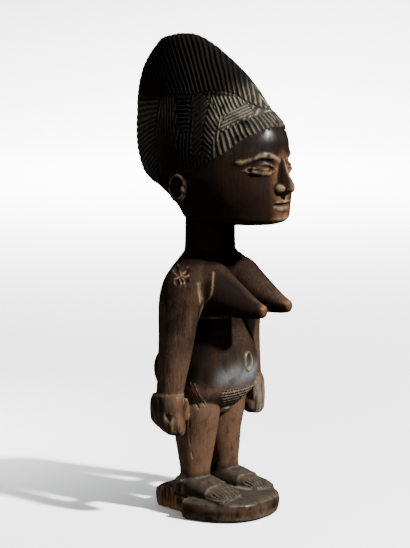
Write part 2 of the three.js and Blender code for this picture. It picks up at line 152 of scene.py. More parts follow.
def reaching_form(name, table, **bar_sizes):
    """A form that reaches forward: the bar's rings stand across its way."""
    bar, unit, at = ringed_bar(name, table, **bar_sizes)
    size = {key: through(table, key, at) for key in table if key != "at"}
    across = signed_power(unit[:, 0], 2 / size["round"])
    up = signed_power(unit[:, 1], 2 / size["round"])
    reach = np.where(up < 0, size["under"], size["over"])
    x = size["x"] + size["side"] * across
    write_points(bar, np.column_stack([x, -at, size["z"] + reach * up]))
    return bar


def strip_block():
    """The block that is taken off the base where its strip broke away."""
    bpy.ops.object.select_all(action="DESELECT")
    bpy.ops.mesh.primitive_cube_add(size=1)
    block = bpy.context.object
    block.scale = (STRIP_WIDTH * MM, STRIP_LENGTH * MM, 4 * BASE_TOP * MM)
    bpy.ops.object.transform_apply(scale=True)
    corner = Matrix.Translation((STRIP_CORNER[0] * MM, STRIP_CORNER[1] * MM, 0))
    middle = Matrix.Translation((-STRIP_WIDTH / 2 * MM, STRIP_LENGTH / 2 * MM, 0))
    block.data.transform(corner @ Matrix.Rotation(STRIP_TURN, 4, "Z") @ middle)
    return block


def base_ring(at, inset, roundness):
    side, reach = BASE_WIDTH / 2, BASE_DEPTH / 2
    return at, 0, BASE_FORWARD, side - inset, reach - 1.2 * inset, reach - inset, roundness


base = standing_form(
    "base",
    stations(
        "at x forward side front back round",
        base_ring(0, 2.3, 2.4),
        base_ring(1.6, 0.8, 2.5),
        base_ring(0.55 * BASE_TOP, 0, 2.5),
        base_ring(BASE_TOP - 2, 0.4, 2.5),
        base_ring(BASE_TOP - 0.6, 2, 2.4),
        base_ring(BASE_TOP + 1, 12, 2.2),
    ),
    cuts=30,
)
strip = strip_block()
apply_modifier(base, "BOOLEAN", object=strip, operation="DIFFERENCE", solver="EXACT")
bpy.data.objects.remove(strip)
carved = [base]

# The feet
# Wedges that drop from the instep to the toes, with the inner side a little higher. They are part
# of the block, like everything that follows, and the left one is copied to the right.
LEG_OUT = 13
TOE_END = 27
TOE_MIDDLE = LEG_OUT + 2.5
FOOT_RISE = math.radians(6)
HEEL = -12.5


def both_sides(thing):
    """Copies a form of the left side to the right."""
    apply_modifier(thing, "MIRROR", use_axis=(True, False, False), use_mirror_merge=False)
    return thing


foot = reaching_form(
    "feet",
    stations(
        "at x z side under over round",
        (HEEL, LEG_OUT + 0.5, 14.5, 5, 5, 4, 2.4),
        (HEEL + 3, LEG_OUT + 0.5, 14.5, 8, 5, 6.5, 2.6),
        (0, LEG_OUT + 1, 14.5, 9.5, 5, 9.5, 2.6),
        (8, LEG_OUT + 1.5, 13.5, 10, 4, 9, 2.6),
        (17, LEG_OUT + 2, 12.5, 10.5, 3, 6.8, 2.8),
        (TOE_END - 2, TOE_MIDDLE, 12, 10.2, 3, 4.9, 3),
        (TOE_END, TOE_MIDDLE, 12, 9, 2.5, 2.6, 2.6),
    ),
    cuts=50,
)
rise = Matrix.Translation((-1 * MM, 0, 1.5 * MM)) @ Matrix.Rotation(FOOT_RISE, 4, "Y")
foot.data.transform(rise)
carved.append(both_sides(foot))

# The legs
# Short and thick, widest at the thigh, round all over and rubbed smooth.
ANKLE = 23.5
CROTCH = 56.5
GROIN = 67.5

leg = standing_form(
    "legs",
    stations(
        "at x forward side front back round",
        (BASE_TOP, LEG_OUT + 1, -0.5, 8.5, 9, 9, 2),
        (ANKLE, LEG_OUT + 0.8, -0.3, 7.9, 8.6, 8.4, 2),
        (ANKLE + 11, LEG_OUT - 0.2, -0.8, 9.4, 10.2, 10.2, 2),
        (CROTCH - 11, LEG_OUT - 1.2, -1.4, 11, 12.4, 12.4, 2),
        (CROTCH, LEG_OUT - 1, -1, 12, 13.8, 14.5, 2),
        (GROIN + 4, LEG_OUT - 1, -1, 12.5, 15, 17, 2),
    ),
)
carved.append(both_sides(leg))

# The trunk
# Hips, a round belly that hangs over the groin, a waist and a flat chest, with two round buttocks
# behind and a low mound between the thighs.
NAVEL = 87.5
WAIST = 105.5
BREAST_UNDER = 113.5
SHOULDER = 144.5
HIP = 27
BELLY_FORWARD = 26.5


def ball(name, reach, place, turn=(0, 0, 0), segments=48):
    """A ball stretched to its reach, turned, and put in its place."""
    bpy.ops.object.select_all(action="DESELECT")
    bpy.ops.mesh.primitive_uv_sphere_add(segments=segments, ring_count=segments // 2, radius=1)
    thing = bpy.context.object
    thing.name = name
    size = Matrix.Diagonal((*(r * MM for r in reach), 1))
    turned = Matrix.Rotation(turn[2], 4, "Z") @ Matrix.Rotation(turn[1], 4, "Y")
    turned = turned @ Matrix.Rotation(turn[0], 4, "X")
    thing.data.transform(Matrix.Translation(Vector(place) * MM) @ turned @ size)
    return thing


trunk = standing_form(
    "trunk",
    stations(
        "at x forward side front back round",
        (CROTCH + 3, 0, 0, 15, 11, 13, 2),
        (GROIN - 3, 0, 0, 23, 17, 18, 2.2),
        (GROIN + 5, 0, 0, HIP - 1, 23, 20, 2.3),
        (NAVEL - 3, 0, 0, HIP - 2, BELLY_FORWARD, 18.5, 2.2),
        (NAVEL + 8, 0, 0, 22.5, BELLY_FORWARD - 1.5, 16, 2.2),
        (WAIST, 0, 0, 20.5, 20.5, 15.5, 2.2),
        (BREAST_UNDER + 3, 0, 0, 22, 17, 16, 2.4),
        (SHOULDER - 15, 0, 0, 27, 15.5, 15.5, 2.8),
        (SHOULDER - 4, 0, 0, 24, 14, 13.5, 2.6),
        (SHOULDER + 2, 0, 0, 17, 13.5, 13, 2.2),
        (SHOULDER + 5, 0, 0, 13.5, 13, 12.5, 2),
    ),
)
carved.append(trunk)
carved.append(both_sides(ball("buttocks", (13, 14, 15), (10.5, 14.5, NAVEL - 7))))
carved.append(ball("mound", (9.5, 5.5, 8), (0, -7.5, CROTCH + 7)))

# The breasts
# Long cones that leave the chest at the collar and drop to blunt tips.
NIPPLE_FORWARD = 46
NIPPLE_LEVEL = BREAST_UNDER + 4.6
NIPPLE_OUT = 12.2

breast = reaching_form(
    "breasts",
    stations(
        "at x z side under over round",
        (3, 14, NIPPLE_LEVEL + 10.5, 13, 14.5, 16, 2),
        (13, 13.6, NIPPLE_LEVEL + 10, 12.5, 14, 15, 2),
        (NIPPLE_FORWARD - 21, 13, NIPPLE_LEVEL + 5.6, 9.8, 10.2, 10.8, 2),
        (NIPPLE_FORWARD - 10, 12.5, NIPPLE_LEVEL + 2, 6.4, 6.6, 6.4, 2),
        (NIPPLE_FORWARD - 4, NIPPLE_OUT, NIPPLE_LEVEL + 0.4, 4.3, 4.5, 4.3, 2),
        (NIPPLE_FORWARD - 1, NIPPLE_OUT, NIPPLE_LEVEL, 3.1, 3.2, 3.2, 2),
        (NIPPLE_FORWARD, NIPPLE_OUT, NIPPLE_LEVEL, 1.5, 1.5, 1.5, 2),
    ),
)
carved.append(both_sides(breast))

# The arms and hands
# Heavy sloping shoulders, a straight fall to the wrist, and a broad closed hand below a stepped
# cuff. The thumb and the wood left behind it tie each hand to the hip.
SHOULDER_OUT = 36
WRIST_OUT = 38
HAND_LOW = CROTCH - 7

arm = standing_form(
    "arms",
    stations(
        "at x forward side front back round",
        (GROIN, WRIST_OUT, 0, 5.8, 8.4, 8.2, 2),
        (GROIN + 5, WRIST_OUT - 0.8, 0, 6.6, 8, 8, 2),
        (NAVEL - 2, WRIST_OUT - 3.5, 0, 7.6, 9, 9, 2),
        (WAIST - 4, SHOULDER_OUT - 4.8, 0, 8.6, 10.8, 10.4, 2),
        (BREAST_UNDER + 2, SHOULDER_OUT - 6.5, 0, 9.2, 13, 11.6, 2.1),
        (SHOULDER - 20, SHOULDER_OUT - 9, 0.5, 10.5, 14.5, 12.6, 2.2),
        (SHOULDER - 12, SHOULDER_OUT - 12.5, 0.5, 11, 13.8, 12.4, 2.2),
        (SHOULDER - 5, SHOULDER_OUT - 17.5, 0.5, 10, 11.5, 11, 2.1),
        (SHOULDER, SHOULDER_OUT - 21, 0, 6.5, 9, 8.5, 2),
    ),
)
palm = standing_form(
    "palms",
    stations(
        "at x forward side front back round",
        (HAND_LOW, WRIST_OUT - 1, 3.5, 3.4, 5, 4, 2.2),
        (HAND_LOW + 3, WRIST_OUT, 2, 5.8, 7.8, 6.6, 2.3),
        (HAND_LOW + 9, WRIST_OUT + 0.3, 0, 7, 10, 11, 2.3),
        (GROIN, WRIST_OUT + 0.2, 0, 7, 9.4, 11.4, 2.2),
        (GROIN + 4, WRIST_OUT - 0.4, 0, 7, 8.6, 10.4, 2),
    ),
    cuts=50,
)
thumb = ball("thumbs", (2.2, 2, 7.5), (WRIST_OUT - 4.5, -7, CROTCH + 6), (0.1, -0.15, 0))
link = ball("links", (9.5, 2.8, 6), (WRIST_OUT - 13.5, -0.8, CROTCH + 4), (0, 0.12, 0))
carved += [both_sides(thing) for thing in (arm, palm, thumb, link)]

# The neck and the head
# A plain post carries a large head with a flat underside. The head is widest at the ears and thins
# upwards into the crest of the hair.
JAW = 164.5
EAR = 185
HAIRLINE = 218.5
CREST_FOOT = 233
HEIGHT = 266.5
NECK_RADIUS = 14
HEAD_SIDE = 28.5

HEAD = stations(
    "at mid front back side round_front round_back",
    (JAW, 12, 30, 23, 19, 2.3, 2),
    (JAW + 2.2, 12, 35, 25.5, 22, 2.3, 2),
    (JAW + 7, 11, 38, 27, 24, 2.2, 2),
    (JAW + 13, 9, 40, 31, 26, 2.2, 2),
    (JAW + 19, 6, 42.5, 37, 27.4, 2.2, 1.95),
    (EAR + 6, 3, 45, 44, HEAD_SIDE, 2.2, 1.9),
    (EAR + 14, 1, 47.5, 46, HEAD_SIDE, 2.2, 1.8),
    (EAR + 23, 0, 48.5, 47.5, 27.2, 2.15, 1.75),
    (HAIRLINE, 0, 45, 48.5, 23.6, 2.1, 1.7),
    (HAIRLINE + 8, -1, 38.5, 48, 19.4, 2, 1.65),
    (CREST_FOOT + 2, -3, 34.5, 45.5, 15.2, 2, 1.6),
    (CREST_FOOT + 12, -7, 29.5, 39, 11, 1.9, 1.6),
    (HEIGHT - 13.5, -12, 24.5, 29.5, 7.6, 1.9, 1.7),
    (HEIGHT - 7, -15, 18, 21, 5.2, 1.9, 1.8),
    (HEIGHT - 3, -17.5, 13, 13.5, 3.4, 2, 2),
    (HEIGHT - 0.9, -17.5, 6, 4, 1.2, 2, 2),
)


def head_form():
    bar, unit, at = ringed_bar("head", HEAD, cuts=99, segments=128)
    size = {key: through(HEAD, key, at) for key in HEAD if key != "at"}
    ahead = unit[:, 1] < 0
    power = 2 / np.where(ahead, size["round_front"], size["round_back"])
    x = size["side"] * signed_power(unit[:, 0], power)
    y = np.where(ahead, size["front"], size["back"]) * signed_power(unit[:, 1], power)
    write_points(bar, np.column_stack([x, y - size["mid"], at]))
    return bar


neck = standing_form(
    "neck",
    stations(
        "at x forward side front back round",
        (SHOULDER - 3, 0, 0, NECK_RADIUS + 0.6, NECK_RADIUS + 0.6, NECK_RADIUS + 0.6, 2),
        (SHOULDER + 7, 0, 0, NECK_RADIUS, NECK_RADIUS, NECK_RADIUS, 2),
        (JAW + 3, 0, 0, NECK_RADIUS - 0.4, NECK_RADIUS - 0.4, NECK_RADIUS - 0.4, 2),
    ),
    cuts=30,
)
carved += [neck, head_form()]

# The ears
# Low ovals on the widest part of the head, with a deep hollow that leaves a curved rim.
ear = ball("ears", (4, 6.6, 8.8), (HEAD_SIDE - 1, 1.2, EAR - 0.5), (0.12, 0, 0))
hollow = ball("hollow", (2.8, 4.6, 6.4), (HEAD_SIDE + 2.6, 0.6, EAR - 0.6), (0.12, 0, 0))
apply_modifier(ear, "BOOLEAN", object=hollow, operation="DIFFERENCE", solver="EXACT")
bpy.data.objects.remove(hollow)
tragus = ball("ear_fronts", (1.6, 1.5, 2.2), (HEAD_SIDE + 0.6, -3, EAR - 1.5))
carved += [both_sides(ear), both_sides(tragus)]

# The face
# A calm, plain face on the usual thirds: brow, nose and closed mouth on a smooth head, and almond
# eyes one eye's width apart.
THIRD = (HAIRLINE - JAW) / 3
BROW_LEVEL = JAW + 2 * THIRD
EYE_LEVEL = BROW_LEVEL - 5.5
NOSE_LEVEL = JAW + THIRD
MOUTH_LEVEL = JAW + 0.62 * THIRD
EYE_OUT = 12.5


def face_forward(x, z):
    """How far forward the smooth face lies at a place seen from the front."""
    size = {key: float(through(HEAD, key, np.array([z]))[0]) for key in HEAD if key != "at"}
    power = size["round_front"]
    return size["mid"] + size["front"] * (1 - (abs(x) / size["side"]) ** power) ** (1 / power)


def on_face(x, z, sunk):
    return x, sunk - face_forward(x, z), z


face_turn = (0, 0, 0.35)
eye = ball("eyes", (6.6, 4.2, 3.2), on_face(EYE_OUT, EYE_LEVEL, 2.6), face_turn)
nose_root = face_forward(0, BROW_LEVEL) - 3
nose = standing_form(
    "nose",
    stations(
        "at x forward side front back round",
        (NOSE_LEVEL - 1, 0, nose_root, 3.4, 7, 3, 2),
        (NOSE_LEVEL, 0, nose_root, 4.4, 9.8, 3, 2),
        (NOSE_LEVEL + 3, 0, nose_root, 4.2, 10.6, 3, 2),
        (NOSE_LEVEL + 9, 0, nose_root, 3.2, 7.4, 3, 2),
        (BROW_LEVEL, 0, nose_root, 2.6, 3.8, 3, 2),
    ),
    cuts=40,
)
wing = ball("nose_wings", (2.6, 4, 2.6), (4.2, 2.2 - face_forward(0, NOSE_LEVEL) - 2.2, NOSE_LEVEL + 2))
upper_lip = ball("upper_lip", (8, 4.6, 1.9), on_face(0, MOUTH_LEVEL + 1.6, 3.2))
lower_lip = ball("lower_lip", (7, 4.8, 2.1), on_face(0, MOUTH_LEVEL - 2.1, 3.2))
carved += [both_sides(eye), nose, both_sides(wing), upper_lip, lower_lip]

# One piece of wood
# All these forms are one solid in the real figure. They are fused into one skin, and the joins are
# rubbed down as a carver does with a knife and sand.
GRAIN_OF_SKIN = 0.5
RUBBING = 6

bpy.ops.object.select_all(action="DESELECT")
for thing in carved:
    thing.select_set(True)
bpy.context.view_layer.objects.active = base
bpy.ops.object.join()
figure = bpy.context.object
figure.name = "carved_figure"
apply_modifier(figure, "REMESH", mode="VOXEL", voxel_size=GRAIN_OF_SKIN * MM)
apply_modifier(figure, "SMOOTH", factor=0.5, iterations=RUBBING)


def read_normals(thing):
    flat = np.empty(len(thing.data.vertices) * 3, np.float32)
    thing.data.vertex_normals.foreach_get("vector", flat)
    return flat.reshape(-1, 3).astype(float)


def ramp(value, start, end):
    """0 before start, 1 after end, and smooth between them."""
    t = np.clip((value - start) / (end - start), 0, 1)
    return t * t * (3 - 2 * t)


def hump(*offsets):
    """1 in the middle, falling off softly. Each offset is a distance and its reach."""
    return np.exp(-sum((distance / reach) ** 2 for distance, reach in offsets))


def to_path(places, path):
    """The distance from each place to a broken line, in as many dimensions as they have."""
    nearest = np.full(len(places), np.inf)
    for start, end in zip(np.array(path[:-1], float), np.array(path[1:], float)):
        way = end - start
        share = np.clip((places - start) @ way / (way @ way), 0, 1)
        gap = np.linalg.norm(places - start - share[:, None] * way, axis=1)
        nearest = np.minimum(nearest, gap)
    return nearest


def lumps(places, size, seed):
    """Smooth noise between -1 and 1, with lumps of about this size, one number or one a way."""
    table = np.random.default_rng(seed).uniform(-1, 1, (32, 32, 32))
    scaled = places / size
    cell = np.floor(scaled).astype(int)
    part = scaled - cell
    part = part * part * (3 - 2 * part)
    total = np.zeros(len(places))
    for corner in np.ndindex(2, 2, 2):
        i, j, k = ((cell + corner) % 32).T
        weight = np.prod(np.where(corner, part, 1 - part), axis=1)
        total += weight * table[i, j, k]
    return total


points = read_points(figure)
x, forward, z = points[:, 0], -points[:, 1], points[:, 2]
out = np.abs(x)
facing = read_normals(figure)
relief = np.zeros(len(points))

# The face's finish
# Eye sockets, lids, brows, nostrils, the line of the mouth and the chin are cut with a small knife.
on_front = ramp(forward, 22, 28) * ramp(z, JAW - 2, JAW) * (1 - ramp(z, HAIRLINE - 4, HAIRLINE))
from_eye = out - EYE_OUT
EYE_HALF = 7.4
LID_RISE, LID_DROP = 3.3, 2.7


def lid(rise_of_lid, offset=0.0):
    """The edge of a lid as a bow from corner to corner, seen from the front."""
    places = np.linspace(-1, 1, 9)
    return [(EYE_OUT + EYE_HALF * u, EYE_LEVEL + offset + rise_of_lid * (1 - u * u)) for u in places]


seen_front = np.column_stack([out, z])
upper = to_path(seen_front, lid(LID_RISE))
lower = to_path(seen_front, lid(-LID_DROP))
crease = to_path(seen_front, lid(LID_RISE + 1.6, 0.4))
eye_bow = np.maximum(1 - (from_eye / EYE_HALF) ** 2, 0)
open_eye = (z < EYE_LEVEL + LID_RISE * eye_bow) & (z > EYE_LEVEL - LID_DROP * eye_bow)
socket = -1.5 * hump((from_eye, 9), (z - EYE_LEVEL - 2.5, 5))
cheek = 0.9 * hump((out - 16, 8), (z - EYE_LEVEL + 12, 7))
brow_path = [(3.5, BROW_LEVEL - 1), (8, BROW_LEVEL + 1.4), (14, BROW_LEVEL + 2), (21, BROW_LEVEL - 1.5)]
brow = 1.1 * hump((to_path(seen_front, brow_path), 1.7))
lids = np.maximum(0.75 * hump((upper, 0.8)), 0.6 * hump((lower, 0.75))) - 0.4 * hump((crease, 0.7))
rim_cut = -0.5 * open_eye * (hump((upper - 1.4, 0.6)) + hump((lower - 1.3, 0.6)))
from_pupil = np.hypot(from_eye, z - EYE_LEVEL - 0.2)
pupil = -0.28 * hump((from_pupil - 1.9, 0.45)) - 0.5 * hump((from_pupil, 0.8))
nostril = -1.3 * hump((out - 2.6, 1.3), (z - NOSE_LEVEL + 0.6, 1.3)) * ramp(forward, 47, 50)
mouth_line = -1.0 * hump((z - MOUTH_LEVEL + 0.1 - 0.018 * out**2 * 0.3, 0.6)) * (1 - ramp(out, 6.5, 8.5))
philtrum = -0.4 * hump((x, 1.2), (z - NOSE_LEVEL + 2.6, 1.8))
chin = 1.5 * hump((x, 8), (z - JAW - 4.5, 3.6)) - 0.6 * hump((x, 6), (z - MOUTH_LEVEL + 5.6, 1.2))
relief += on_front * (socket + cheek + brow + lids + rim_cut + pupil + nostril + mouth_line + philtrum + chin)

# The hair
# A tall crest of upright braids, level braids round the back of the head, and fields of short
# braids over each temple, all cut as rounded ridges between fine grooves.
HAIR_RISE = 0.9
EDGE = [
    (60, 217.3), (44.5, 217.3), (40.5, 214.6), (36.1, 211.9), (31.9, 208.5), (27, 203.6), (17.7, 198.6),
    (9.1, 193.6), (4.5, 193.4), (-4, 191.5), (-8, 186), (-15, 183), (-27, 184.8), (-60, 184),
]
CREST_EDGE = [
    (-60, 234), (-27.7, 234), (-13.6, 232.7), (-1.2, 233.2), (5.9, 234.8), (11, 236), (16.9, 236),
    (24.9, 233.9), (29.7, 230.4), (32.8, 229), (36.7, 226.5), (60, 226.5),
]
flank = np.column_stack([forward, z])


def above(path):
    """How far each place lies above a line that runs along the flank, negative below it."""
    line = np.array(sorted(path), float)
    side = np.sign(z - np.interp(forward, line[:, 0], line[:, 1]))
    return side * to_path(flank, path)


def cross(a, b):
    return a[..., 0] * b[..., 1] - a[..., 1] * b[..., 0]


def in_field(start_line, end_line):
    """Places in a field of braids that run from one line to another: across them and along them."""
    a, b, c, d = (np.array(corner, float) for corner in (*start_line, *end_line))
    e, g, k, h = b - a, c - a, a - b - c + d, flank - a
    square, linear, rest = cross(e, k), cross(e, g) - cross(h, k), -cross(h, g)
    root = np.sqrt(np.maximum(linear**2 - 4 * square * rest, 0))
    across = 2 * rest / (-linear - np.where(linear < 0, -1, 1) * root + 1e-12)
    way = g + across[:, None] * k
    along = np.sum((h - across[:, None] * e) * way, axis=1) / np.sum(way * way, axis=1)
    width = np.linalg.norm(e + along[:, None] * k, axis=1)
    length = np.linalg.norm(way, axis=1)
    inset = np.minimum(np.minimum(across, 1 - across) * width, np.minimum(along, 1 - along) * length)
    return across, inset


def braid(turn):
    """The height of a braid, 1 on its back and 0 in the groove beside it."""
    from_back = 2 * np.abs(turn - np.floor(turn) - 0.5)
    return (1 - from_back**1.5) ** 1.6


wobble = 0.16 * lumps(points, 7, 3) + 0.05 * lumps(points, 2.5, 4)
hair_height = braid((forward + 0.15 * (z - EAR)) / 2.3 + wobble)
hair_depth = np.full(len(points), 0.6)
FIELDS = [
    # braids, depth, start line, end line
    (19, 0.75, ((-15, 189), (-24, 232.6)), ((-75, 123), (-84, 232.6))),
    (5, 0.6, ((-22.5, 232), (-12.5, 232)), ((-6, 191), (4.5, 193))),
    (9, 0.7, ((-12, 232.7), (-1.5, 213)), ((-1.5, 232.9), (6, 214))),
    (4, 0.7, ((-1, 230.5), (4, 220.5)), ((6, 235.3), (11.5, 230.5))),
    (7, 0.8, ((10.5, 234.6), (26.5, 233.4)), ((20, 222), (30, 228.8))),
    (9, 0.65, ((11.5, 231), (14.5, 203)), ((5.5, 224.5), (8.5, 197))),
    (9, 0.65, ((11.5, 231), (14.5, 203)), ((21, 221.5), (19.5, 199.5))),
    (5, 0.75, ((23.5, 225), (21, 213.2)), ((31, 229.6), (37, 223.4))),
]
for count, depth, start_line, end_line in FIELDS:
    across, inset = in_field(start_line, end_line)
    inside = inset > 0
    height = braid(across * count + wobble) * ramp(inset, 0, 0.7)
    hair_height[inside] = height[inside]
    hair_depth[inside] = depth

# The braids above the brow run round the front, so they are counted along the hairline's bow.
ring = {key: through(HEAD, key, z) for key in ("mid", "front", "side")}
bow = np.arctan2(forward - ring["mid"], out * ring["front"] / ring["side"])
BOW_STEPS = np.linspace(0, math.pi / 2, 60)
BOW_POINTS = np.column_stack([21.5 * np.cos(BOW_STEPS), 42 * np.sin(BOW_STEPS)])
BOW_RUN = np.concatenate(([0], np.cumsum(np.linalg.norm(np.diff(BOW_POINTS, axis=0), axis=1))))
round_front = BOW_RUN[-1] - np.interp(bow, BOW_STEPS, BOW_RUN)
under_band = above([(14, 203), (20.5, 213), (29.5, 218.8), (37, 223.2), (40, 226.5), (60, 226.5)])
brow_field = (under_band < 0) & (forward > 22.5)
lean = 0.28 * (z - 212)
brow_braids = braid((round_front - lean) / 2.7 + 0.5 + wobble) * ramp(-under_band, 0, 0.7)
hair_height[brow_field] = brow_braids[brow_field]
hair_depth[brow_field] = 0.8

crest_rise = above(CREST_EDGE)
LEAN_REAR, LEAN_FRONT = 0.55, 0.2
CREST_REAR, CREST_FRONT = -46, 34
lean_change = (LEAN_FRONT - LEAN_REAR) / (CREST_FRONT - CREST_REAR)
lean_middle = LEAN_REAR - lean_change * CREST_REAR
FANNED = 0.72
climb = z - CREST_FOOT
foot_place = (forward - FANNED * out + lean_middle * climb) / (1 - lean_change * climb)
PITCH_REAR, PITCH_FRONT = 2.5, 3.2
pitch_change = (PITCH_FRONT - PITCH_REAR) / (CREST_FRONT - CREST_REAR)
crest_turn = np.log(np.maximum(PITCH_REAR + pitch_change * (foot_place - CREST_REAR), 0.5)) / pitch_change
in_crest = crest_rise > 0
crest_braids = braid(crest_turn + 0.8 * wobble) * ramp(crest_rise, 0, 0.8)
hair_height[in_crest] = crest_braids[in_crest]
hair_depth[in_crest] = 0.8

round_rear = (1 - ramp(forward, -30, -12)) * (1 - ramp(out / ring["side"], 0.15, 0.6))
round_top = 0.7 * ramp(z, HEIGHT - 9, HEIGHT - 2)
hair_height += 0.7 * np.maximum(round_rear, round_top) * (1 - hair_height)
hair = ramp(above(EDGE), -0.3, 0.5) * ramp(z, EAR - 4, EAR)
hair[(out < 15) & (z < EAR + 6) & (forward > -10)] = 0
relief += hair * (HAIR_RISE - 1.25 * hair_depth * (1 - hair_height) * (1 + 0.25 * lumps(points, 5, 8)))

# The small carving of the body
# A tall ring for the navel, rows of beads in the triangle under the belly, fingers, toes and cuffs.
NAVEL_HALF, NAVEL_RISE = 3.1, 4.9
NAVEL_TURNS = np.linspace(0, 2 * math.pi, 17)
NAVEL_RING = np.column_stack([NAVEL_HALF * np.cos(NAVEL_TURNS), NAVEL_RISE * np.sin(NAVEL_TURNS)])
from_navel = np.column_stack([x, z - NAVEL + 0.5])
on_belly = ramp(forward, 15, 18) * (1 - ramp(z, WAIST, WAIST + 5))
ring_gap = to_path(from_navel, NAVEL_RING)
in_navel = np.hypot(from_navel[:, 0] / NAVEL_HALF, from_navel[:, 1] / NAVEL_RISE) < 1
navel_ring = 0.8 * hump((ring_gap, 0.7)) - 0.6 * in_navel * ramp(ring_gap, 0.5, 1.6)
relief += on_belly * navel_ring
navel_glow = on_belly * hump((ring_gap, 0.9))

BEAD_PITCH = 1.9
bead_low, bead_high = CROTCH + 0.5, GROIN + 4
in_triangle = ramp(z - bead_low - 0.75 * out, 0, 1) * (1 - ramp(z, bead_high, bead_high + 1))
in_triangle *= ramp(forward, 4, 6) * (out < 15)
bead_rows = np.sin(math.pi * (x + z) / BEAD_PITCH) * np.sin(math.pi * (x - z) / BEAD_PITCH)
relief += in_triangle * (0.5 * bead_rows + 0.15 * lumps(points, 1.1, 35))

on_hand = ramp(out, 31, 33) * ramp(z, HAND_LOW - 1, HAND_LOW) * (1 - ramp(z, GROIN + 3, GROIN + 4))
outside = ramp(out, 40, 41.5)
knuckle = to_path(flank, [(-8.5, 66), (-7, 60), (-3.5, 54), (0, 51)])
palm_edge = to_path(flank, [(-1.5, 71), (-1, 62), (1, 55)])
hole = hump((to_path(flank, [(4.2, 61), (4.8, 59.6)]), 1.2))
finger_front = to_path(flank, [(6.2, 59), (6, 50.5)])
finger_sides = np.abs(finger_front - 2.1)
relief -= on_hand * outside * (0.5 * hump((knuckle, 0.8)) + 0.3 * hump((palm_edge, 1)) + 1.5 * hole)
relief += on_hand * outside * (0.25 * hump((finger_front, 1)) - 0.2 * hump((finger_sides, 0.5)))
for place in (-5, -1.6):
    finger = to_path(flank, [(place, 56), (place + 2.2, 49)])
    relief -= on_hand * outside * 0.3 * hump((finger, 0.5))
front_of_hand = on_hand * ramp(forward, 3, 5) * (x > 0)
for place in (-4.6, -0.4, 3.4):
    relief -= front_of_hand * 0.7 * hump((out - WRIST_OUT - place, 0.6)) * (1 - ramp(z, GROIN - 3, GROIN))
cuff = z - GROIN - 4.6 + 0.6 * lumps(points, 5, 38)
relief += 0.18 * hump((cuff, 0.6)) * (out > 30)

on_foot = (z > BASE_TOP + 0.8) & (z < ANKLE) & (out > 3)
toe_line = forward - 16.5 + 0.02 * (out - 15) ** 2 + 0.8 * lumps(points, 4, 31)
relief += on_foot * 0.3 * hump((toe_line, 0.7)) * ramp(z, 14, 15)
relief -= on_foot * 0.6 * ramp(toe_line, 0.5, 2) * ramp(z, 12.8, 13.8)
TOE_PITCH = 2.35
toe_turn = (out - TOE_MIDDLE - 0.12 * (forward - 20) * np.sign(out - TOE_MIDDLE)) / TOE_PITCH
toe_gap = np.abs(toe_turn - np.round(toe_turn) + 0.12 * lumps(points, 3, 32)) * TOE_PITCH
toes = on_foot * ramp(toe_line + 1.5 * lumps(points, 1.8, 36), 3, 5) * ramp(z, 12.6, 13.6)
toes *= np.abs(out - TOE_MIDDLE) < 9.5
toe_slots = hump((toe_gap, 0.42)) * ramp(lumps(points, (1.5, 4, 4), 37), -0.8, -0.1)
relief -= toes * (0.75 * toe_slots + 0.2 * lumps(points, 1.2, 33))
relief -= on_foot * 0.18 * np.maximum(lumps(points, (0.9, 4, 2), 34), 0)
rough_heel = on_foot * (x < 0) * (1 - ramp(forward, -4, 2))
relief -= 0.6 * rough_heel * lumps(points, 2.2, 54)
on_ground = ramp(z, BASE_TOP - 3, BASE_TOP - 1) * (z < BASE_TOP + 1.2)
relief -= 0.3 * on_ground * np.maximum(lumps(points, (2, 13, 5), 52), 0)

# Knocks and wear
# A star-shaped chip on the right shoulder, a gouge beside it, a long crack in the right leg,
# splintered wood beside the right hand, and the rough face where the base broke.
RIGHT_FRONT = math.radians(54)
seen_across = forward * math.sin(RIGHT_FRONT) + x * math.cos(RIGHT_FRONT)
seen_right_front = np.column_stack([seen_across, z])
right_side = ramp(-x, 14, 17)
CHIP = (-15.5, 136)
SHREDS = [
    [(-2.2, 5.4), (-0.4, 1.2), (2, -4.4)],
    [(-5, 2.3), (-2.6, 0.4), (0, 0.3)],
    [(-3.8, -1.5), (-0.4, 0)],
    [(0.4, -0.4), (-1.1, -5.2)],
    [(0.5, 0.5), (2.4, 0), (3.9, 0.8)],
    [(0.7, 1.6), (3.2, 4.8)],
]
PITS = [(1.9, 3, 1.6), (-2.7, 3.7, 1.2), (2.7, -1.6, 1.2), (-2, -2.7, 1.1), (0.2, -2.2, 0.9)]
GOUGE = [(-6.2, 133), (-5.7, 128), (-5.2, 122.5)]
CRACK = [(-11.3, 59), (-11.5, 51), (-11.1, 42.6), (-9.6, 33.2)]
SPLIT = [(-10.5, 71.3), (-6, 62)]
SPLINTER = (-35, 9, 63.5)
PALE_LINES = [
    # lines of bare wood and how wide they are: armpit, under the breast, collar, hip and finger
    (0.5, [(1.7, 138), (1.5, 132), (0.8, 127), (-2.4, 122), (-4.4, 118.6), (-6.1, 112.5)]),
    (0.5, [(-5.6, 112.5), (2, 112.2), (8.9, 112), (18.9, 112.2)]),
    (0.3, [(-8.4, 76), (-6.5, 71), (-1.5, 63)]),
    (0.3, [(-11, 77), (-8.5, 70), (-5.5, 62)]),
    (0.3, [(-9.5, 75), (-6.5, 68.5), (-3, 62.5)]),
    (0.5, [(-20.3, 59.5), (-20.6, 52.5)]),
]


